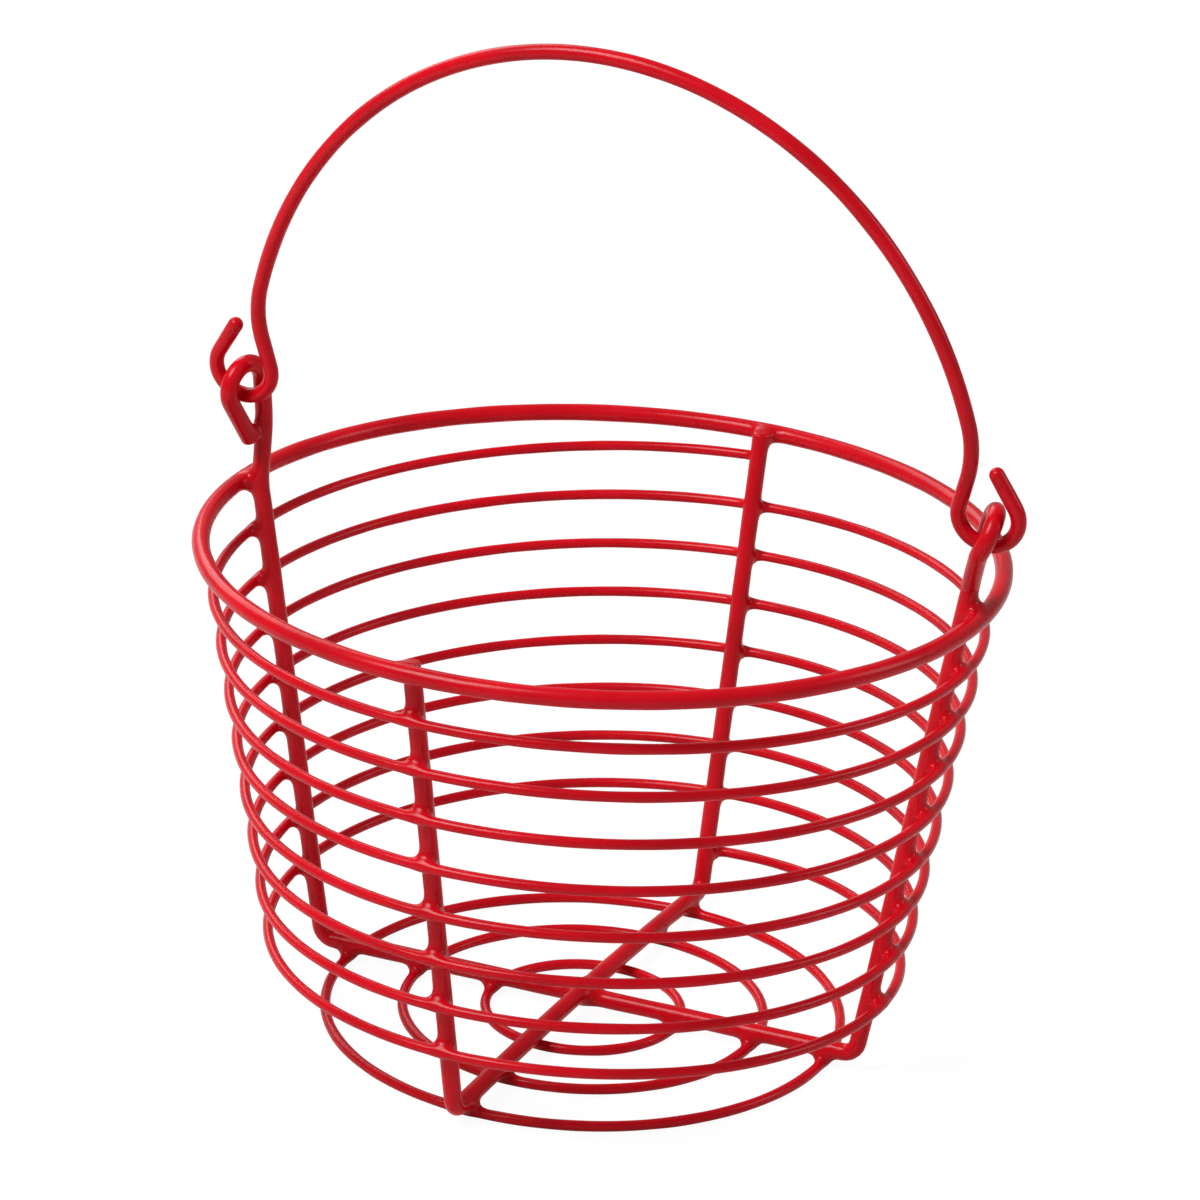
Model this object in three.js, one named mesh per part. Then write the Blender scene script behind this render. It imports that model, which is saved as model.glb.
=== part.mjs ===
// Wire egg basket: a round welded wire basket with a swinging bail, dipped in red plastic.
// Millimetres, +Z up. X runs through the legs under the two eyes, and the eyes and the resting bail
// reach towards -Y. The sizes are laid out round the basket's own middle. The finished part is moved
// along X so that its origin is on the ground under the middle of the hinge axis.
// Every wire diameter includes the plastic coat.

import * as THREE from 'three';

// Wire: the frames and the rim, the rings and the winding, the bail
const heavyWire = 5.6;
const thinWire = 3.3;
const bailWire = 4.8;
const weldGap = 0.3;
const heavySides = 8;
const thinSides = 6;

// Rim: radius and height of the wire's centreline
const rimRadius = 124;
const rimHeight = 160;
const rimSteps = 72;

// Frames: where a leg would meet the base run if the corner were sharp, and the corner's bend
const footRadius = 92.7;
const cornerRadius = 5;
const cornerSteps = 6;
const runSteps = 16;

// Plain frame: the direction of its base run, and how far the top of each leg is turned from it
const plainFrameTurn = 87.6;
const backLegTwist = -1.1;
const frontLegTwist = -3;
const plainFrameStandUp = 1.5;

// Eyes: the teardrop at each end of the eye frame. Its top is measured along the wire's end from the
// rim's centreline, and its other places from its top. The right end stands in line with its leg, and
// the left one is bent back in. Each eye is turned from the radial direction, and the right one
// twists further as it closes.
const leftEyeTop = 42.3;
const rightEyeTop = 38.2;
const leftEyeLean = 3;
const leftEyeTurn = 74;
const rightEyeTurn = 54;
const rightEyeTwist = 24;
const eyePlay = 2.4;
const eyeOutset = 2.5;
const eyeBendDrop = 21;
const eyeEndDrop = 26.6;
const eyeSteps = 14;

// Side wire, wound down round the legs. It sags at the -X leg, and its tail drops to the foot.
const windingTurns = 8;
const windingStartGap = 2.55;
const windingEndHeight = 22.6;
const windingSag = 4.9;
const windingTailDrop = 3.6;
const windingTailTurns = 0.5;
const windingSteps = 40;

// Base rings: centreline radii, the outer one measured in from the foot of the legs
const innerRingRadius = 31.4;
const middleRingRadius = 57.9;
const outerRingInset = 10.1;
const ringSteps = 48;

// Bail: the arch's height over the hinge axis, how far its sides stand inside the hooks, and how far
// it leans over the eyes' open side at rest
const bailHeight = 137.2;
const bailInset = 2.2;
const bailLean = 10;
const bailSteps = 44;
const waistHeight = 29;
const waistBlend = 9;
const waistSteps = 5;

// Hooks of the bail: the room beside the eye's wire, and how far the bend lies under the hinge axis,
// which itself lies hingeDrop under the tops of the eyes
const hookRoom = 4.3;
const hookSink = 0.4;
const hookSteps = 14;
const tipOutset = 1;
const tipHeight = 26;
const hingeDrop = 10.1;

// Colour of the plastic coat
const coatColour = 0xcd0a1e;
const coatRoughness = 0.28;

// What follows from the sizes
const heavyRadius = heavyWire / 2;
const thinRadius = thinWire / 2;
const bailRadius = bailWire / 2;
const chordFactor = (steps) => Math.cos(Math.PI / steps);
const radians = THREE.MathUtils.degToRad;
const ringHeight = thinRadius * chordFactor(thinSides);
const runHeight = 2 * ringHeight + weldGap + heavyRadius;
const legTopRadius = rimRadius * chordFactor(rimSteps) - heavyWire - weldGap;
const legLean = Math.atan2(legTopRadius - footRadius, rimHeight - runHeight);
const plainFrameRise = heavyWire + weldGap;
const outerRingRadius = footRadius - outerRingInset;
const windingStart = rimHeight - heavyRadius - windingStartGap - thinRadius;
const windingPitch = (windingStart - windingEndHeight) / windingTurns;
const eyeRadius = heavyRadius + bailRadius + eyePlay;
const eyeReach = eyeRadius + eyeOutset;
const leftEye = { side: -1, top: leftEyeTop, lean: radians(leftEyeLean), turn: leftEyeTurn, twist: 0 };
const rightEye = { side: 1, top: rightEyeTop, lean: legLean, turn: rightEyeTurn, twist: rightEyeTwist };
const hookRadius = heavyRadius + bailRadius + hookRoom;
const hookLift = hookRadius - hookSink;

// Radius of a leg's centreline at a height
function legRadius(z) {
  return footRadius + (z - runHeight) * Math.tan(legLean);
}

// Points of an arc in a plane, from one angle to another
function arc(centreX, centreY, radius, from, to, steps) {
  const points = [];
  for (let i = 0; i <= steps; i += 1) {
    const angle = from + ((to - from) * i) / steps;
    points.push(new THREE.Vector2(centreX + radius * Math.cos(angle), centreY + radius * Math.sin(angle)));
  }
  return points;
}

// Angle on a circle where a straight line from a point outside touches it; side is 1 or -1
function touchAngle(centreX, centreY, radius, point, side) {
  const toPoint = Math.atan2(point.y - centreY, point.x - centreX);
  const distance = Math.hypot(point.x - centreX, point.y - centreY);
  return toPoint + side * Math.acos(radius / distance);
}

// A regular polygon that stands for the round wire
function wireSection(diameter, sides) {
  const shape = new THREE.Shape();
  const points = [];
  for (let i = 0; i < sides; i += 1) {
    const angle = ((i + 0.5) * 2 * Math.PI) / sides;
    points.push(new THREE.Vector2((diameter / 2) * Math.cos(angle), (diameter / 2) * Math.sin(angle)));
  }
  shape.setFromPoints(points);
  return shape;
}

// A bent wire's centreline: each point is one cross-section, square to the bisector of its bend
class WirePath extends THREE.Curve {
  constructor(points) {
    super();
    this.points = points;
    this.last = points.length - 1;
  }

  getUtoTmapping(u) {
    return u;
  }

  getPoint(t, target = new THREE.Vector3()) {
    const i = Math.min(Math.floor(t * this.last + 1e-6), this.last - 1);
    return target.lerpVectors(this.points[i], this.points[i + 1], t * this.last - i);
  }

  getTangent(t, target = new THREE.Vector3()) {
    const i = Math.round(t * this.last);
    const before = this.points[Math.max(i - 1, 0)];
    const here = this.points[i];
    const after = this.points[Math.min(i + 1, this.last)];
    const arriving = new THREE.Vector3().subVectors(here, before).normalize();
    const leaving = new THREE.Vector3().subVectors(after, here).normalize();
    return target.addVectors(arriving, leaving).normalize();
  }
}

function bentWire(points, diameter, sides) {
  const path = new WirePath(points);
  const options = { steps: points.length - 1, extrudePath: path, bevelEnabled: false };
  return new THREE.ExtrudeGeometry(wireSection(diameter, sides), options);
}

// A closed ring lying flat, with a flat side of its section facing down
function ringWire(radius, height, diameter, sides, steps) {
  const profile = [];
  for (let i = 0; i <= sides; i += 1) {
    const angle = -Math.PI / 2 + ((i % sides) + 0.5) * ((2 * Math.PI) / sides);
    const out = (diameter / 2) * Math.cos(angle);
    const up = (diameter / 2) * Math.sin(angle);
    profile.push(new THREE.Vector2(radius + out, up));
  }
  const geometry = new THREE.LatheGeometry(profile, steps);
  geometry.rotateX(Math.PI / 2);
  geometry.translate(0, 0, height);
  return geometry;
}

// One half of a frame in its own upright plane, from the middle of the base to the top of the leg.
// The run rises by bow from the outer ring to the middle, and its end bends up into the leg.
function frameHalf(topHeight, bow) {
  const turn = Math.PI / 2 - legLean;
  const setback = cornerRadius * Math.tan(turn / 2);
  const runEnd = footRadius - setback;
  const points = [];
  const steps = bow > 0 ? runSteps : 1;
  for (let i = 0; i <= steps; i += 1) {
    const along = i / steps;
    points.push(new THREE.Vector2(outerRingRadius * along, runHeight + bow * (1 - along * along)));
  }
  const start = -Math.PI / 2;
  const cornerHeight = runHeight + cornerRadius;
  points.push(...arc(runEnd, cornerHeight, cornerRadius, start, start + turn, cornerSteps));
  points.push(new THREE.Vector2(legRadius(topHeight), topHeight));
  return points;
}

// Both halves of a frame as one centreline, turned to its direction on the base. The top of each leg
// is turned further by its twist.
function frameLine(half, turn, leftTwist, rightTwist) {
  const sideLine = (side, twist) => half.map((point, i) => {
    const angle = i < half.length - 1 ? turn : turn + twist;
    return new THREE.Vector3(side * point.x * Math.cos(angle), side * point.x * Math.sin(angle), point.y);
  });
  return [...sideLine(-1, leftTwist).slice(1).reverse(), ...sideLine(1, rightTwist)];
}

// A point beside one end of the eye frame: reach out from it, height along it over the rim, and turn
function besideEnd(eye, reach, height, turn) {
  const out = eye.side * reach * Math.cos(turn);
  const point = new THREE.Vector3(out, -reach * Math.sin(turn), height);
  point.applyAxisAngle(new THREE.Vector3(0, 1, 0), eye.lean);
  return point.add(new THREE.Vector3(eye.side * legTopRadius, 0, rimHeight));
}

// The teardrop eye: the end bends out, turns over and comes back to the frame with its blunt end
function eyeLine(eye) {
  const centreHeight = eye.top - eyeRadius;
  const bend = new THREE.Vector2(0, eye.top - eyeBendDrop);
  const end = new THREE.Vector2(heavyWire + weldGap, eye.top - eyeEndDrop);
  const from = touchAngle(eyeReach, centreHeight, eyeRadius, bend, -1) + 2 * Math.PI;
  const to = touchAngle(eyeReach, centreHeight, eyeRadius, end, 1);
  const flat = [bend, ...arc(eyeReach, centreHeight, eyeRadius, from, to, eyeSteps), end];
  const turnAt = (i) => eye.turn + (eye.twist * i) / (flat.length - 1);
  return flat.map((point, i) => besideEnd(eye, point.x, point.y, radians(turnAt(i))));
}

// Where the hinge axis passes through an eye
function eyeMiddle(eye) {
  return besideEnd(eye, eyeReach, eye.top - hingeDrop, radians(eye.turn + eye.twist / 2));
}

function makeEyeFrame() {
  const frame = frameLine(frameHalf(rimHeight, 0), 0, 0, 0);
  const points = [...eyeLine(leftEye).reverse(), ...frame, ...eyeLine(rightEye)];
  return bentWire(points, heavyWire, heavySides);
}

function makePlainFrame() {
  const half = frameHalf(rimHeight + plainFrameStandUp, plainFrameRise);
  const points = frameLine(half, radians(plainFrameTurn), radians(frontLegTwist), radians(backLegTwist));
  return bentWire(points, heavyWire, heavySides);
}

// Azimuth of the side wire after some turns, from the back leg on
function windingAzimuth(turns) {
  return radians(plainFrameTurn + backLegTwist / 2) + turns * 2 * Math.PI;
}

// Height of the side wire after some turns: an even pitch, a sag at the -X leg and a dropped tail
function windingHeight(turns) {
  const azimuth = windingAzimuth(turns);
  const nearLeftLeg = (1 - Math.cos(azimuth)) / 2;
  const tail = Math.max(0, turns - windingTurns + windingTailTurns) / windingTailTurns;
  const even = windingStart - windingPitch * turns;
  return even - windingSag * nearLeftLeg ** 2 - windingTailDrop * tail ** 2;
}

function windingLine() {
  const stand = (heavyRadius + thinRadius + weldGap) / Math.cos(legLean);
  const points = [];
  const count = Math.round(windingTurns * windingSteps);
  for (let i = 0; i <= count; i += 1) {
    const turns = (i * windingTurns) / count;
    const azimuth = windingAzimuth(turns);
    const z = windingHeight(turns);
    const radius = (legRadius(z) + stand) / chordFactor(windingSteps);
    points.push(new THREE.Vector3(radius * Math.cos(azimuth), radius * Math.sin(azimuth), z));
  }
  return points;
}

// Least gap between turns of the wound wire, measured on its points
function leastSelfGap(points, diameter, stepsPerTurn) {
  const near = Math.floor(stepsPerTurn / 2);
  let least = Infinity;
  for (let i = 0; i < points.length; i += 1) {
    for (let j = i + near; j < points.length; j += 1) {
      least = Math.min(least, points[i].distanceTo(points[j]) - diameter);
    }
  }
  return least;
}

function makeSideWire() {
  const points = windingLine();
  console.log('side_wire least gap to itself, mm:', leastSelfGap(points, thinWire, windingSteps).toFixed(2));
  return bentWire(points, thinWire, thinSides);
}

// The hinge axis runs through both eyes and stays level with the mouth from front to back
const leftHook = eyeMiddle(leftEye);
const rightHook = eyeMiddle(rightEye);
const hingeMiddle = leftHook.clone().lerp(rightHook, 0.5);
const hingeTilt = Math.atan2(leftHook.z - rightHook.z, rightHook.x - leftHook.x);
const hookX = (rightHook.x - leftHook.x) / 2 / Math.cos(hingeTilt);
const bailHalfWidth = hookX - bailInset;

// One half of the bail in its own plane: distance from the middle, and height over the hinge axis
function bailHalf() {
  const archX = (height) => bailHalfWidth * Math.sqrt(1 - (height / bailHeight) ** 2);
  const waist = new THREE.Vector2(archX(waistHeight), waistHeight);
  const tip = new THREE.Vector2(hookX + tipOutset, tipHeight);
  const inner = touchAngle(hookX, hookLift, hookRadius, waist, 1);
  const outer = touchAngle(hookX, hookLift, hookRadius, tip, -1) + 2 * Math.PI;
  const hook = arc(hookX, hookLift, hookRadius, inner, outer, hookSteps);
  const archEnd = Math.acos((waistHeight + waistBlend) / bailHeight);
  const points = [];
  for (let i = 0; i <= bailSteps / 2; i += 1) {
    const angle = (archEnd * i) / (bailSteps / 2);
    points.push(new THREE.Vector2(bailHalfWidth * Math.sin(angle), bailHeight * Math.cos(angle)));
  }
  const aboveWaist = points[points.length - 1];
  const belowWaist = waist.clone().lerp(hook[0], waistBlend / waist.distanceTo(hook[0]));
  const bend = new THREE.QuadraticBezierCurve(aboveWaist, waist, belowWaist);
  points.push(...bend.getPoints(waistSteps).slice(1), ...hook, tip);
  return points;
}

function makeBail() {
  const half = bailHalf();
  const left = half.slice(1).reverse().map((point) => new THREE.Vector3(-point.x, 0, point.y));
  const right = half.map((point) => new THREE.Vector3(point.x, 0, point.y));
  return bentWire([...left, ...right], bailWire, heavySides);
}

function coat() {
  return new THREE.MeshStandardMaterial({ color: coatColour, roughness: coatRoughness, metalness: 0 });
}

function addPiece(parent, name, geometry) {
  const mesh = new THREE.Mesh(geometry, coat());
  mesh.name = name;
  parent.add(mesh);
  return mesh;
}

const basket = new THREE.Group();
basket.position.x = -hingeMiddle.x;
addPiece(basket, 'rim_ring', ringWire(rimRadius, rimHeight, heavyWire, heavySides, rimSteps));
addPiece(basket, 'eye_frame', makeEyeFrame());
addPiece(basket, 'plain_frame', makePlainFrame());
addPiece(basket, 'side_wire', makeSideWire());
addPiece(basket, 'base_ring_inner', ringWire(innerRingRadius, ringHeight, thinWire, thinSides, ringSteps));
addPiece(basket, 'base_ring_middle', ringWire(middleRingRadius, ringHeight, thinWire, thinSides, ringSteps));
addPiece(basket, 'base_ring_outer', ringWire(outerRingRadius, ringHeight, thinWire, thinSides, ringSteps));

// The bail hangs in its own group, whose origin is on the hinge axis midway between the eyes
const swing = new THREE.Group();
swing.position.copy(hingeMiddle);
swing.rotation.set(radians(bailLean), hingeTilt, 0, 'YXZ');
basket.add(swing);
addPiece(swing, 'bail', makeBail());

const part = new THREE.Group();
part.add(basket);

export default part;
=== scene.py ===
import math
from collections import namedtuple

import bpy
import numpy as np
from mathutils import Matrix, Vector, noise


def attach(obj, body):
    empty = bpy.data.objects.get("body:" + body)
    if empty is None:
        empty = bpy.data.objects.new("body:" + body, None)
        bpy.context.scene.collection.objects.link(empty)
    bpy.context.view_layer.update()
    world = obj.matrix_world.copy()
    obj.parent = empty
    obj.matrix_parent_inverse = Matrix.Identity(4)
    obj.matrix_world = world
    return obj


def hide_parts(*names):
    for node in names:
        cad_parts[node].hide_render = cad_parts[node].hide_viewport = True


# Wire egg basket: each wire in its coat, the webs of coat at the welds, the finish and the studio.
# Lengths are in millimetres until a mesh, a lamp or the camera is made.

METRES = 0.001

# Wire: diameters over the coat, and points round a section
HEAVY_WIRE = 5.6
THIN_WIRE = 3.3
BAIL_WIRE = 4.8
HEAVY_SIDES = 22
THIN_SIDES = 16

# Ends of a wire: how far a cut one and a bail's tip are rounded, and how the rounding is drawn
CUT_ROUNDING = 1.3
TIP_ROUNDING = 2.3
ROUNDING_TURN = math.radians(84)
ROUNDING_STEPS = 6

# What follows the solids: the gap at a weld, the straight steps of the rim and of an eye, and the
# sides of a thin wire
GAP = 0.3
SOLID_RIM_STEPS = 72
SOLID_EYE_STEPS = 16
SOLID_THIN_SIDES = 6

# Rim and the two frames
RIM_RADIUS = 124
RIM_HEIGHT = 160
FOOT_RADIUS = 92.7
CORNER_RADIUS = 5
PLAIN_TURN = math.radians(87.6)
BACK_TWIST = math.radians(-1.1)
FRONT_TWIST = math.radians(-3)
PLAIN_STAND_UP = 1.5
PLAIN_RISE = 1.8

# Eyes at the ends of the eye frame: each one's top over the rim's centreline, then what they share
LEFT_EYE_TOP = 42.3
LEFT_EYE_LEAN = math.radians(3)
LEFT_EYE_TURN = math.radians(74)
RIGHT_EYE_TOP = 38.2
RIGHT_EYE_TURN = math.radians(54)
RIGHT_EYE_TWIST = math.radians(24)
EYE_PLAY = 2.4
EYE_OUTSET = 2.5
EYE_BEND_DROP = 21
EYE_END_DROP = 26.6

# Side wire
TURNS = 8
START_GAP = 2.55
END_HEIGHT = 22.6
SAG = 4.9
TAIL_DROP = 3.6
TAIL_TURNS = 0.5

# Base rings
INNER_RING_RADIUS = 31.4
MIDDLE_RING_RADIUS = 57.9
OUTER_RING_INSET = 10.1

# Bail
BAIL_HEIGHT = 137.2
BAIL_INSET = 2.2
BAIL_LEAN = math.radians(10)
WAIST_HEIGHT = 29
WAIST_BLEND = 9
HOOK_ROOM = 4.3
HOOK_SINK = 0.4
TIP_OUTSET = 1
TIP_HEIGHT = 26
HINGE_DROP = 10.1

# Welds: the widest gap that is one, the least way along the wires from one to the next, and the
# least way along a single wire between two places that are welded together
WELD_GAP = 1.3
WELD_SPACING = 14
OWN_WELD_SPACING = 20

# Webs of coat at the welds: how widely they bridge two wires, how far they may rise, the steps that
# they are found in, how far they reach along a wire, and how much more of its neighbour counts
HEAVY_WEB = 5.6
THIN_WEB = 4.6
WEB_LIMIT = 2.6
WEB_STEP = 0.1
WEB_LENGTH = 9
WEB_SPARE = 4

# Unevenness of the coat, and the length of its waves
UNEVENNESS = 0.11
UNEVEN_LENGTH = 14

# Sections along a wire: their spacing at a weld and elsewhere, and half the length that gives a tangent
FINE_STEP = 0.55
HEAVY_STEP = 1.3
THIN_STEP = 2.2
TANGENT_STEP = 0.3

# Centrelines: how far a soft bend reaches from its corner, and the points on each kind of curve
SOFT_BEND = 4
BEND_POINTS = 9
WAIST_POINTS = 24
ARC_STEPS = 48
RING_POINTS = 361
RUN_POINTS = 60
TURN_STEPS = 240
ARCH_POINTS = 160
NEIGHBOUR_POINTS = 36

# What follows from the sizes
HEAVY = HEAVY_WIRE / 2
THIN = THIN_WIRE / 2
BAIL = BAIL_WIRE / 2
RING_HEIGHT = THIN
RUN_HEIGHT = THIN_WIRE * math.cos(math.pi / SOLID_THIN_SIDES) + GAP + HEAVY
LEG_TOP_RADIUS = RIM_RADIUS * math.cos(math.pi / SOLID_RIM_STEPS) - HEAVY_WIRE - GAP
LEG_LEAN = math.atan2(LEG_TOP_RADIUS - FOOT_RADIUS, RIM_HEIGHT - RUN_HEIGHT)
OUTER_RING_RADIUS = FOOT_RADIUS - OUTER_RING_INSET
WINDING_START = RIM_HEIGHT - HEAVY - START_GAP - THIN
WINDING_PITCH = (WINDING_START - END_HEIGHT) / TURNS
EYE_RADIUS = HEAVY + BAIL + EYE_PLAY
EYE_REACH = EYE_RADIUS + EYE_OUTSET
HOOK_RADIUS = HEAVY + BAIL + HOOK_ROOM
HOOK_LIFT = HOOK_RADIUS - HOOK_SINK
Eye = namedtuple("Eye", "side top lean turn twist")
LEFT_EYE = Eye(-1, LEFT_EYE_TOP, LEFT_EYE_LEAN, LEFT_EYE_TURN, 0)
RIGHT_EYE = Eye(1, RIGHT_EYE_TOP, LEG_LEAN, RIGHT_EYE_TURN, RIGHT_EYE_TWIST)


def beside_end(eye, reach, height, turn):
    """Places beside one end of the eye frame: reach out from it, height along it, and turn."""
    out = eye.side * reach * np.cos(turn)
    x = out * math.cos(eye.lean) + height * math.sin(eye.lean)
    z = height * math.cos(eye.lean) - out * math.sin(eye.lean)
    return np.stack([eye.side * LEG_TOP_RADIUS + x, -reach * np.sin(turn), RIM_HEIGHT + z], axis=-1)


def eye_middle(eye):
    """Where the hinge axis passes through an eye."""
    return beside_end(eye, EYE_REACH, eye.top - HINGE_DROP, eye.turn + eye.twist / 2)


# The hinge axis runs through both eyes; the part's origin is on the ground under its middle
LEFT_HOOK = eye_middle(LEFT_EYE)
RIGHT_HOOK = eye_middle(RIGHT_EYE)
HINGE = (LEFT_HOOK + RIGHT_HOOK) / 2
HINGE_TILT = math.atan2(LEFT_HOOK[2] - RIGHT_HOOK[2], RIGHT_HOOK[0] - LEFT_HOOK[0])
HOOK_X = (RIGHT_HOOK[0] - LEFT_HOOK[0]) / 2 / math.cos(HINGE_TILT)
BAIL_HALF_WIDTH = HOOK_X - BAIL_INSET
ORIGIN = np.array([HINGE[0], 0, 0])


def leg_radius(z):
    """Radius of a leg's centreline at a height."""
    return FOOT_RADIUS + (z - RUN_HEIGHT) * math.tan(LEG_LEAN)


def arc(centre_x, centre_y, radius, start, end):
    """Points on a flat arc from one angle to another."""
    angles = np.linspace(start, end, ARC_STEPS + 1)
    return np.column_stack([centre_x + radius * np.cos(angles), centre_y + radius * np.sin(angles)])


def touch_angle(centre_x, centre_y, radius, point, side):
    """Angle on a circle where a straight line from a point outside touches it."""
    to_point = math.atan2(point[1] - centre_y, point[0] - centre_x)
    distance = math.hypot(point[0] - centre_x, point[1] - centre_y)
    return to_point + side * math.acos(radius / distance)


def ring_line(radius, height):
    """A closed ring; it starts between two legs, clear of every weld."""
    angles = np.linspace(0, 2 * math.pi, RING_POINTS) + math.pi / 4
    level = np.full(RING_POINTS, height)
    return np.column_stack([radius * np.cos(angles), radius * np.sin(angles), level])


def frame_half(top_height, rise):
    """Half of a frame in its own plane, from the middle of the base to the top of the leg.

    The run rises from the outer ring to the middle of the base, and its end bends up into the leg.
    """
    turn = math.pi / 2 - LEG_LEAN
    run_end = FOOT_RADIUS - CORNER_RADIUS * math.tan(turn / 2)
    along = np.linspace(0, 1, RUN_POINTS)
    run = np.column_stack([OUTER_RING_RADIUS * along, RUN_HEIGHT + rise * (1 - along**2)])
    start = -math.pi / 2
    corner = arc(run_end, RUN_HEIGHT + CORNER_RADIUS, CORNER_RADIUS, start, start + turn)
    return np.vstack([run, corner, [leg_radius(top_height), top_height]])


def both_halves(half, turn, twists=(0, 0)):
    """A whole frame; the top of each leg is turned further by its twist."""
    parts = []
    for side, twist in zip((-1, 1), twists):
        out = side * half[:, 0]
        angle = np.full(len(half), turn)
        angle[-1] += twist
        parts.append(np.column_stack([out * np.cos(angle), out * np.sin(angle), half[:, 1]]))
    return np.vstack([parts[0][:0:-1], parts[1]])


def soft_bend(start, corner, end, points):
    """A curve in place of a sharp corner."""
    t = np.linspace(0, 1, points)[:, None]
    return (1 - t) ** 2 * start + 2 * t * (1 - t) * corner + t**2 * end


def soften(line):
    """A soft bend at each corner between two long straight stretches."""
    lengths = np.linalg.norm(np.diff(line, axis=0), axis=1)
    parts = [line[:1]]
    for i in range(1, len(line) - 1):
        corner = line[i]
        if min(lengths[i - 1], lengths[i]) < 2 * SOFT_BEND:
            parts.append(corner[None])
            continue
        start = corner + (line[i - 1] - corner) * SOFT_BEND / lengths[i - 1]
        end = corner + (line[i + 1] - corner) * SOFT_BEND / lengths[i]
        parts.append(soft_bend(start, corner, end, BEND_POINTS))
    return np.vstack([*parts, line[-1:]])


def eye_line(eye):
    """The teardrop eye: the end bends out, turns over and comes back with its blunt end.

    The twist builds up evenly along the eye.
    """
    centre = eye.top - EYE_RADIUS
    bend = (0, eye.top - EYE_BEND_DROP)
    end = (HEAVY_WIRE + GAP, eye.top - EYE_END_DROP)
    start = touch_angle(EYE_REACH, centre, EYE_RADIUS, bend, -1) + 2 * math.pi
    stop = touch_angle(EYE_REACH, centre, EYE_RADIUS, end, 1)
    curve = arc(EYE_REACH, centre, EYE_RADIUS, start, stop)
    flat = np.vstack([bend, curve, end])
    step = 1 / SOLID_EYE_STEPS
    progress = np.r_[0, np.linspace(step, 1 - step, len(curve)), 1]
    return beside_end(eye, flat[:, 0], flat[:, 1], eye.turn + eye.twist * progress)


def eye_frame_line():
    """The whole eye frame, with a soft bend between each leg and its eye."""
    middle = both_halves(frame_half(RIM_HEIGHT, 0), 0)
    return soften(np.vstack([eye_line(LEFT_EYE)[::-1], middle, eye_line(RIGHT_EYE)]))


def side_line():
    """The side wire: an even pitch, a sag at the -X leg and a dropped tail."""
    turns = np.linspace(0, TURNS, TURNS * TURN_STEPS + 1)
    azimuth = PLAIN_TURN + BACK_TWIST / 2 + turns * 2 * math.pi
    tail = np.maximum(0, turns - TURNS + TAIL_TURNS) / TAIL_TURNS
    sag = SAG * ((1 - np.cos(azimuth)) / 2) ** 2
    z = WINDING_START - WINDING_PITCH * turns - sag - TAIL_DROP * tail**2
    radius = leg_radius(z) + (HEAVY + THIN + GAP) / math.cos(LEG_LEAN)
    return np.column_stack([radius * np.cos(azimuth), radius * np.sin(azimuth), z])


def bail_half():
    """Half of the bail in its own plane: half-elliptic arch, waist, hook and raised tip."""
    def arch_x(height):
        return BAIL_HALF_WIDTH * math.sqrt(1 - (height / BAIL_HEIGHT) ** 2)

    waist = np.array([arch_x(WAIST_HEIGHT), WAIST_HEIGHT])
    tip = np.array([HOOK_X + TIP_OUTSET, TIP_HEIGHT])
    inner = touch_angle(HOOK_X, HOOK_LIFT, HOOK_RADIUS, waist, 1)
    outer = touch_angle(HOOK_X, HOOK_LIFT, HOOK_RADIUS, tip, -1) + 2 * math.pi
    hook = arc(HOOK_X, HOOK_LIFT, HOOK_RADIUS, inner, outer)
    angle = np.linspace(0, math.acos((WAIST_HEIGHT + WAIST_BLEND) / BAIL_HEIGHT), ARCH_POINTS)
    arch = np.column_stack([BAIL_HALF_WIDTH * np.sin(angle), BAIL_HEIGHT * np.cos(angle)])
    below = waist + (hook[0] - waist) * WAIST_BLEND / np.linalg.norm(hook[0] - waist)
    return np.vstack([arch, soft_bend(arch[-1], waist, below, WAIST_POINTS), hook, tip])


def bail_line():
    """The whole bail, leaning at rest on the hinge axis."""
    half = bail_half()
    flat = np.vstack([half[:0:-1] * [-1, 1], half])
    along = np.array([math.cos(HINGE_TILT), 0, -math.sin(HINGE_TILT)])
    level = np.array([0, -math.sin(BAIL_LEAN), 0])
    upright = math.cos(BAIL_LEAN) * np.array([math.sin(HINGE_TILT), 0, math.cos(HINGE_TILT)])
    return HINGE + np.outer(flat[:, 0], along) + np.outer(flat[:, 1], upright + level)


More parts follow.
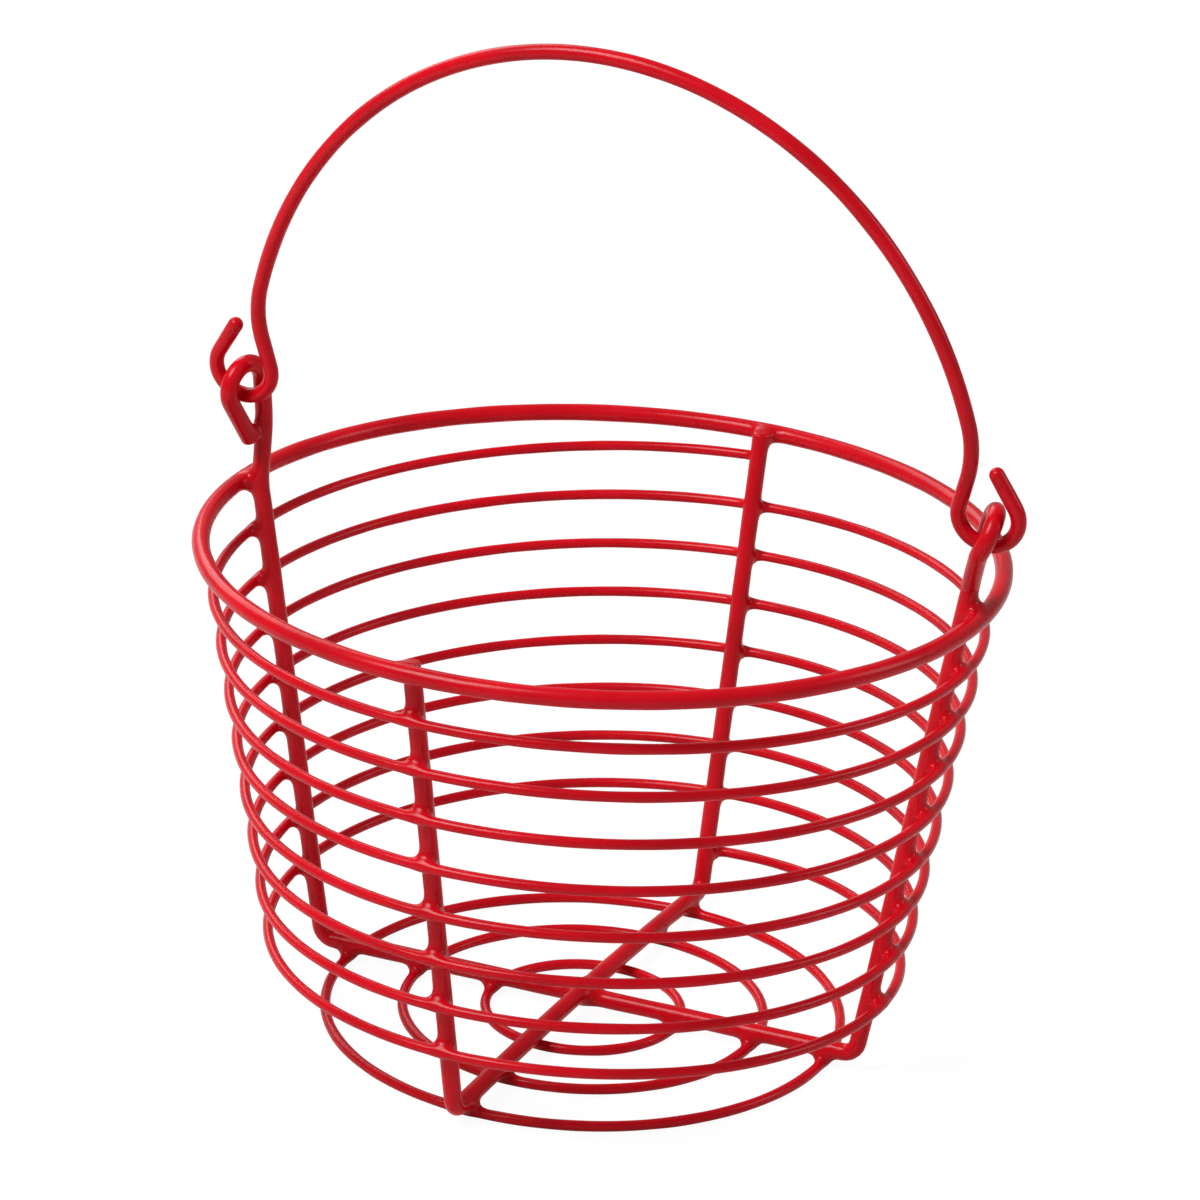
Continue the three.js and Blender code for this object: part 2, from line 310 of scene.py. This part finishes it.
class Wire:
    """A wire's centreline from the part's origin, and its size; rounding is that of its two ends."""

    def __init__(self, name, line, radius, sides, closed=False, rounding=0.0):
        moves_on = np.r_[True, np.linalg.norm(np.diff(line, axis=0), axis=1) > 1e-6]
        self.line = line[moves_on] - ORIGIN
        self.name = name
        self.radius = radius
        self.sides = sides
        self.closed = closed
        self.rounding = rounding
        steps = np.linalg.norm(np.diff(self.line, axis=0), axis=1)
        self.marks = np.r_[0, np.cumsum(steps)]
        self.length = self.marks[-1]
        self.even = np.linspace(0, self.length, int(self.length) + 1, endpoint=not closed)
        self.track = self.at(self.even)
        self.welds = []

    def at(self, distances):
        """Places on the centreline at distances along it."""
        if self.closed:
            distances = np.mod(distances, self.length)
        return np.column_stack([np.interp(distances, self.marks, self.line[:, k]) for k in range(3)])

    def stretch(self, middle, half_length):
        """The centreline on both sides of a place, short of a cut end by the wire's radius."""
        low, high = middle - half_length, middle + half_length
        if not self.closed:
            low, high = max(low, self.radius), min(high, self.length - self.radius)
        return self.at(np.linspace(low, high, NEIGHBOUR_POINTS))

    def sections(self):
        """Distances along the wire of its sections, closer together at the welds."""
        margin = self.rounding
        step = THIN_STEP if self.radius == THIN else HEAVY_STEP
        places = list(np.linspace(margin, self.length - margin, int(self.length / step) + 1))
        for middle, *_ in self.welds:
            fine = np.arange(middle - WEB_LENGTH, middle + WEB_LENGTH, FINE_STEP)
            low, high = fine[0], fine[-1]
            places = [p for p in places if not low - FINE_STEP / 2 < p < high + FINE_STEP / 2]
            if self.closed:
                fine = np.mod(fine, self.length)
            places += [p for p in fine if margin <= p <= self.length - margin]
        places = np.unique(np.round(places, 3))
        near = np.r_[True, np.diff(places) > FINE_STEP / 2]
        places = places[near]
        if self.closed:
            return places[places < self.length - FINE_STEP / 2]
        places[0], places[-1] = margin, self.length - margin
        return places

    def from_place(self, distances, middle):
        """How far along the wire each distance is from a place, the short way round."""
        gap = np.abs(distances - middle)
        return np.minimum(gap, self.length - gap) if self.closed else gap


def find_welds(a, b):
    """Notes on both wires each place where they touch, looking at a point in every millimetre."""
    squares = (a.track**2).sum(1)[:, None] + (b.track**2).sum(1)[None] - 2 * a.track @ b.track.T
    apart = np.sqrt(np.maximum(squares, 0)) - a.radius - b.radius
    if a is b:
        along = a.from_place(a.even[:, None], a.even[None])
        apart[(along < OWN_WELD_SPACING) | (a.even[:, None] > a.even[None])] = np.inf
    while True:
        i, j = np.unravel_index(np.argmin(apart), apart.shape)
        if apart[i, j] > WELD_GAP:
            return
        a.welds.append((a.even[i], b, b.even[j]))
        b.welds.append((b.even[j], a, a.even[i]))
        near_a = a.from_place(a.even, a.even[i]) < WELD_SPACING
        near_b = b.from_place(b.even, b.even[j]) < WELD_SPACING
        apart[np.ix_(near_a, near_b)] = np.inf


def carry_frames(tangents):
    """Two directions square to the wire at each section, carried along without twist."""
    no_wire_starts_along = [0.3, 0.2, 0.9]
    first = np.cross(tangents[0], no_wire_starts_along)
    first /= np.linalg.norm(first)
    across = [first]
    for tangent in tangents[1:]:
        side = across[-1] - tangent * across[-1].dot(tangent)
        across.append(side / np.linalg.norm(side))
    across = np.array(across)
    return across, np.cross(tangents, across)


def nearest(points, path):
    """Distance from each point to a path, and the direction away from it."""
    start, leg = path[:-1], np.diff(path, axis=0)
    offset = points[:, None] - start[None]
    t = np.clip((offset * leg).sum(2) / (leg**2).sum(1), 0, 1)
    away = offset - t[..., None] * leg
    distance = np.linalg.norm(away, axis=2)
    best = distance.argmin(1)
    rows = np.arange(len(points))
    least = np.maximum(distance[rows, best], 1e-9)
    return least, away[rows, best] / least[:, None]


def bridge(a, b, reach):
    """Distance to the coat's skin over two surfaces at distances a and b, and how far it joins them."""
    h = np.maximum(reach - np.abs(a - b), 0) / reach
    return np.minimum(a, b) - h * h * reach / 4, h


def draw_web(points, normals, web, path, radius, reach):
    """Moves one wire's points out to the skin that the coat forms with the wire beside it.

    Each point goes out along its normal to where the skin is. A point under the other wire stops
    where it comes closest to the skin.
    """
    rise = np.zeros(len(points))
    best = np.full(len(points), -np.inf)
    before = best.copy()
    moving = np.ones(len(points), bool)
    for step in np.arange(0, WEB_LIMIT, WEB_STEP):
        beside, _ = nearest(points + normals * step, path)
        value, _ = bridge(step, beside - radius, reach)
        if step == 0:
            moving &= value < -1e-6
        arrived = moving & (value >= 0)
        rise[arrived] = step - WEB_STEP * value[arrived] / (value[arrived] - before[arrived])
        moving &= ~arrived & (value > best - WEB_STEP)
        closer = moving & (value > best)
        rise[closer] = step
        best[closer] = value[closer]
        before = value
    skin = points + normals * rise[:, None]
    beside, away = nearest(skin, path)
    _, h = bridge(rise, beside - radius, reach)
    own = np.where(rise < beside - radius, 1 - h / 2, h / 2)[:, None]
    blended = own * normals + (1 - own) * away
    blended /= np.maximum(np.linalg.norm(blended, axis=1), 1e-9)[:, None]
    use = h > 0
    points[use] = skin[use]
    normals[use] = blended[use]
    web[use] = np.maximum(web[use], h[use])


def end_sections(wire):
    """How a rounded end closes: distance past the last section, radius, and lean of the surface."""
    lean = np.linspace(0, ROUNDING_TURN, ROUNDING_STEPS + 1)[1:]
    return wire.rounding * np.sin(lean), wire.radius - wire.rounding * (1 - np.cos(lean)), lean


def make_piece(name, points, normals, web, faces):
    """A Blender object from points in millimetres, with their normals and how far each is in a web."""
    mesh = bpy.data.meshes.new(name)
    mesh.from_pydata((points * METRES).tolist(), [], faces)
    mesh.attributes.new("web", "FLOAT", "POINT").data.foreach_set("value", web)
    mesh.shade_smooth()
    mesh.normals_split_custom_set_from_vertices(normals.tolist())
    piece = bpy.data.objects.new(name, mesh)
    bpy.context.scene.collection.objects.link(piece)
    return piece


def bare_tube(wire):
    """A wire without its webs: distances of its sections along it, and points and normals on them."""
    places = wire.sections()
    centres = wire.at(places)
    tangents = wire.at(places + TANGENT_STEP) - wire.at(places - TANGENT_STEP)
    tangents /= np.linalg.norm(tangents, axis=1)[:, None]
    across, beyond = carry_frames(tangents)
    radii = np.full(len(places), wire.radius)
    leans = np.zeros(len(places))
    if not wire.closed:
        past, small, lean = end_sections(wire)
        head = centres[0] - np.outer(past, tangents[0])
        tail = centres[-1] + np.outer(past, tangents[-1])
        centres = np.vstack([head[::-1], centres, tail])
        ends = ((len(past), len(past)), (0, 0))
        tangents, across, beyond = (np.pad(a, ends, "edge") for a in (tangents, across, beyond))
        radii = np.r_[small[::-1], radii, small]
        leans = np.r_[-lean[::-1], leans, lean]
        places = np.r_[places[0] - past[::-1], places, places[-1] + past]

    angles = np.arange(wire.sides) * 2 * math.pi / wire.sides
    cos, sin = np.cos(angles)[None, :, None], np.sin(angles)[None, :, None]
    out = across[:, None] * cos + beyond[:, None] * sin
    points = centres[:, None] + out * radii[:, None, None]
    normals = out * np.cos(leans)[:, None, None] + tangents[:, None] * np.sin(leans)[:, None, None]
    return places, points.reshape(-1, 3), normals.reshape(-1, 3)


def tube_faces(count, sides, closed):
    """Faces between sections that follow each other; an open tube has a flat face at each end."""
    faces = []
    for i in range(count if closed else count - 1):
        here, there = i * sides, ((i + 1) % count) * sides
        for j in range(sides):
            k = (j + 1) % sides
            faces.append((here + j, here + k, there + k, there + j))
    if not closed:
        faces.append(tuple(reversed(range(sides))))
        faces.append(tuple(range((count - 1) * sides, count * sides)))
    return faces


def build_wire(wire):
    """One wire in its coat: the bare tube, a web at each weld, and the coat's unevenness."""
    places, points, normals = bare_tube(wire)
    web = np.zeros(len(points))
    along = np.repeat(places, wire.sides)
    for middle, other, there in wire.welds:
        near = np.flatnonzero(wire.from_place(along, middle) < WEB_LENGTH)
        reach = HEAVY_WEB if wire.radius == other.radius == HEAVY else THIN_WEB
        part = points[near], normals[near], web[near]
        draw_web(*part, other.stretch(there, WEB_LENGTH + WEB_SPARE), other.radius, reach)
        points[near], normals[near], web[near] = part

    uneven = [noise.noise(Vector(p) / UNEVEN_LENGTH) for p in points]
    points = points + normals * (UNEVENNESS * np.array(uneven))[:, None]
    faces = tube_faces(len(places), wire.sides, wire.closed)
    return make_piece(wire.name, points, normals, web, faces)


def coat_material():
    """Glossy red dipped plastic: a deeper red in the webs, partly pooled coat and partly painted shade
    in the creases, faint flow marks and a soft skin.
    """
    material = bpy.data.materials.new("red_dipped_plastic")
    material.use_nodes = True
    nodes, links = material.node_tree.nodes, material.node_tree.links
    nodes.clear()

    def node(kind, **inputs):
        made = nodes.new(kind)
        for name, value in inputs.items():
            made.inputs[name.replace("_", " ")].default_value = value
        return made

    def ramp(source, stops):
        made = nodes.new("ShaderNodeValToRGB")
        while len(made.color_ramp.elements) < len(stops):
            made.color_ramp.elements.new(0.5)
        for element, (position, colour) in zip(made.color_ramp.elements, stops):
            element.position = position
            element.color = (*colour, 1)
        links.new(source, made.inputs["Fac"])
        return made.outputs["Color"]

    place = nodes.new("ShaderNodeTexCoord").outputs["Object"]

    def pattern(scale, detail=2.0, roughness=0.5):
        made = node("ShaderNodeTexNoise", Scale=scale, Detail=detail, Roughness=roughness)
        links.new(place, made.inputs["Vector"])
        return made.outputs["Fac"]

    deep, middling, light = (0.54, 0.0025, 0.010), (0.63, 0.0020, 0.010), (0.69, 0.004, 0.015)
    # The webs at the welds get a darker, deeper red: partly the thicker coat pooled there, partly
    # painted shade in the creases between wires
    pooled_and_shaded_red, pool_and_shade_share = (0.47, 0.001, 0.006, 1), 0.45
    clouds = ramp(pattern(38, 3.0), [(0.32, deep), (0.5, middling), (0.70, light)])
    web_amount = nodes.new("ShaderNodeAttribute")
    web_amount.attribute_name = "web"
    pool_and_shade_mix = nodes.new("ShaderNodeMix")
    pool_and_shade_mix.data_type = "RGBA"
    pool_and_shade_depth = nodes.new("ShaderNodeMath")
    pool_and_shade_depth.operation = "MULTIPLY"
    pool_and_shade_depth.inputs[1].default_value = pool_and_shade_share
    links.new(web_amount.outputs["Fac"], pool_and_shade_depth.inputs[0])
    links.new(pool_and_shade_depth.outputs[0], pool_and_shade_mix.inputs["Factor"])
    links.new(clouds, pool_and_shade_mix.inputs["A"])
    pool_and_shade_mix.inputs["B"].default_value = pooled_and_shaded_red

    rough = nodes.new("ShaderNodeMapRange")
    rough.inputs["To Min"].default_value = 0.2
    rough.inputs["To Max"].default_value = 0.3
    links.new(pattern(120, 3.0), rough.inputs["Value"])

    flow = node("ShaderNodeBump", Strength=0.25, Distance=0.0005)
    links.new(pattern(210, 1.0), flow.inputs["Height"])
    skin = node("ShaderNodeBump", Strength=0.08, Distance=0.0002)
    links.new(pattern(1500, 2.0), skin.inputs["Height"])
    links.new(flow.outputs["Normal"], skin.inputs["Normal"])

    shader = node("ShaderNodeBsdfPrincipled")
    shader.inputs["Specular IOR Level"].default_value = 0.1
    shader.inputs["Coat Weight"].default_value = 0.16
    shader.inputs["Coat Roughness"].default_value = 0.2
    links.new(pool_and_shade_mix.outputs["Result"], shader.inputs["Base Color"])
    links.new(rough.outputs["Result"], shader.inputs["Roughness"])
    links.new(skin.outputs["Normal"], shader.inputs["Normal"])
    output = nodes.new("ShaderNodeOutputMaterial")
    links.new(shader.outputs["BSDF"], output.inputs["Surface"])
    return material


def seen_as_white(nodes, links):
    """1 where the camera looks at a material, a quarter in a reflection, and 0 for its light."""
    in_reflection = 0.25
    path = nodes.new("ShaderNodeLightPath")
    either = nodes.new("ShaderNodeMath")
    either.operation = "MULTIPLY_ADD"
    either.inputs[1].default_value = in_reflection
    links.new(path.outputs["Is Glossy Ray"], either.inputs[0])
    links.new(path.outputs["Is Camera Ray"], either.inputs[2])
    return either.outputs[0]


def make_floor():
    """A pale floor that the camera sees as nearly white, with the basket's own soft shadow on it."""
    whiteness = 0.85
    material = bpy.data.materials.new("pale_floor")
    material.use_nodes = True
    nodes, links = material.node_tree.nodes, material.node_tree.links
    nodes.clear()
    paper = nodes.new("ShaderNodeBsdfDiffuse")
    paper.inputs["Color"].default_value = (0.72, 0.72, 0.72, 1)
    white = nodes.new("ShaderNodeEmission")
    white.inputs["Strength"].default_value = 1.1
    share = nodes.new("ShaderNodeMath")
    share.operation = "MULTIPLY"
    share.inputs[1].default_value = whiteness
    mix = nodes.new("ShaderNodeMixShader")
    output = nodes.new("ShaderNodeOutputMaterial")
    links.new(seen_as_white(nodes, links), share.inputs[0])
    links.new(share.outputs[0], mix.inputs["Fac"])
    links.new(paper.outputs["BSDF"], mix.inputs[1])
    links.new(white.outputs["Emission"], mix.inputs[2])
    links.new(mix.outputs["Shader"], output.inputs["Surface"])

    mesh = bpy.data.meshes.new("floor")
    half = 6
    corners = [(-half, -half, 0), (half, -half, 0), (half, half, 0), (-half, half, 0)]
    mesh.from_pydata(corners, [], [(0, 1, 2, 3)])
    floor = bpy.data.objects.new("floor", mesh)
    floor.data.materials.append(material)
    bpy.context.scene.collection.objects.link(floor)


def make_world():
    """Even grey light all round, which the camera sees as white."""
    world = bpy.data.worlds.new("studio")
    bpy.context.scene.world = world
    world.use_nodes = True
    nodes, links = world.node_tree.nodes, world.node_tree.links
    background = nodes["Background"]
    background.inputs["Color"].default_value = (1, 1, 1, 1)
    level = nodes.new("ShaderNodeMapRange")
    level.inputs["To Min"].default_value = 0.15
    level.inputs["To Max"].default_value = 1.0
    links.new(seen_as_white(nodes, links), level.inputs["Value"])
    links.new(level.outputs["Result"], background.inputs["Strength"])


def add_lamp(name, place, size, power):
    """A soft rectangular lamp aimed at the middle of the basket; its place and size are in metres."""
    aim = (0, 0, 0.14)
    lamp = bpy.data.lights.new(name, "AREA")
    lamp.shape = "RECTANGLE"
    lamp.size, lamp.size_y = size
    lamp.energy = power
    held = bpy.data.objects.new(name, lamp)
    held.location = place
    held.rotation_euler = (Vector(aim) - Vector(place)).to_track_quat("-Z", "Y").to_euler()
    bpy.context.scene.collection.objects.link(held)


def make_camera():
    """The photograph's camera: where it stands, where the basket falls in its frame, and its roll.

    It looks at the basket from a distance to a target at a height. The focal length, the frame's
    width and the target's place in the frame are in the photograph's pixels.
    """
    azimuth, elevation, roll = math.radians(21.8), 0.4105, 0.0434
    distance, target_height = 1578.5, 80.6
    focal, frame_width, sensor_width = 5006.9, 1200, 36
    seen_x, seen_y = 600.55, 781.13
    target = Vector((0, 0, target_height)) - Vector(ORIGIN)
    aim_x = math.atan2(seen_x - frame_width / 2, focal)
    aim_y = math.atan2(seen_y - frame_width / 2, focal)
    sin, cos = math.sin(elevation), math.cos(elevation)
    around = Matrix.Rotation(azimuth, 3, "Z")
    looking = Matrix(((1, 0, 0), (0, -sin, -cos), (0, cos, -sin))) @ around.transposed()
    aimed = Matrix.Rotation(aim_x, 3, "Y") @ Matrix.Rotation(-aim_y, 3, "X")
    right, down, forward = Matrix.Rotation(roll, 3, "Z") @ aimed @ looking
    data = bpy.data.cameras.new("photo_camera")
    data.sensor_width = sensor_width
    data.lens = focal * sensor_width / frame_width
    data.clip_end = 100
    camera = bpy.data.objects.new("photo_camera", data)
    pose = Matrix((right, -down, -forward)).transposed().to_4x4()
    pose.translation = (target + around @ Vector((0, -cos, sin)) * distance) * METRES
    camera.matrix_world = pose
    bpy.context.scene.collection.objects.link(camera)
    bpy.context.scene.camera = camera


def build_basket():
    """All the wires; each one replaces the solid that its key names."""
    rim = ring_line(RIM_RADIUS, RIM_HEIGHT)
    plain_half = frame_half(RIM_HEIGHT + PLAIN_STAND_UP, PLAIN_RISE)
    plain = both_halves(plain_half, PLAIN_TURN, (FRONT_TWIST, BACK_TWIST))
    heavy = dict(radius=HEAVY, sides=HEAVY_SIDES)
    thin = dict(radius=THIN, sides=THIN_SIDES)
    basket = {
        "rim_ring": Wire("rim_coated", rim, closed=True, **heavy),
        "eye_frame": Wire("eye_frame_coated", eye_frame_line(), rounding=CUT_ROUNDING, **heavy),
        "plain_frame": Wire("plain_frame_coated", plain, rounding=CUT_ROUNDING, **heavy),
        "side_wire": Wire("side_wire_coated", side_line(), rounding=CUT_ROUNDING, **thin),
    }
    rings = {"inner": INNER_RING_RADIUS, "middle": MIDDLE_RING_RADIUS, "outer": OUTER_RING_RADIUS}
    for name, radius in rings.items():
        line = ring_line(radius, RING_HEIGHT)
        basket[f"base_ring_{name}"] = Wire(f"base_ring_{name}_coated", line, closed=True, **thin)
    wires = list(basket.values())
    for i, first in enumerate(wires):
        for second in wires[i:]:
            find_welds(first, second)
    bail = Wire("bail_coated", bail_line(), BAIL, HEAVY_SIDES, rounding=TIP_ROUNDING)

    coat = coat_material()
    for body, group in (("basket", basket), ("bail", {"bail": bail})):
        for node, wire in group.items():
            piece = build_wire(wire)
            piece.data.materials.append(coat)
            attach(piece, body)
            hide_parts(node)


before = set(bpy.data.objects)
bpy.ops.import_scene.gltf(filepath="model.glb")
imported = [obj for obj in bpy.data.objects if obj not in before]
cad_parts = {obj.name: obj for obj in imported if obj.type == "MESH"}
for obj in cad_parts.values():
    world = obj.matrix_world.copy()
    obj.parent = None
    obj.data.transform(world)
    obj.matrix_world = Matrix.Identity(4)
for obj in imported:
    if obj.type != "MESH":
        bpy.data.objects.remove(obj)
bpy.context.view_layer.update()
build_basket()
make_floor()
make_world()
add_lamp("key", (-0.68, -1.05, 1.78), (0.95, 0.95), 39)
add_lamp("fill", (1.5, 0.5, 0.9), (0.5, 0.9), 5)
add_lamp("back", (-1.4, 1.0, 1.3), (1.4, 1.2), 16)
make_camera()
bpy.context.scene.view_settings.view_transform = "Standard"
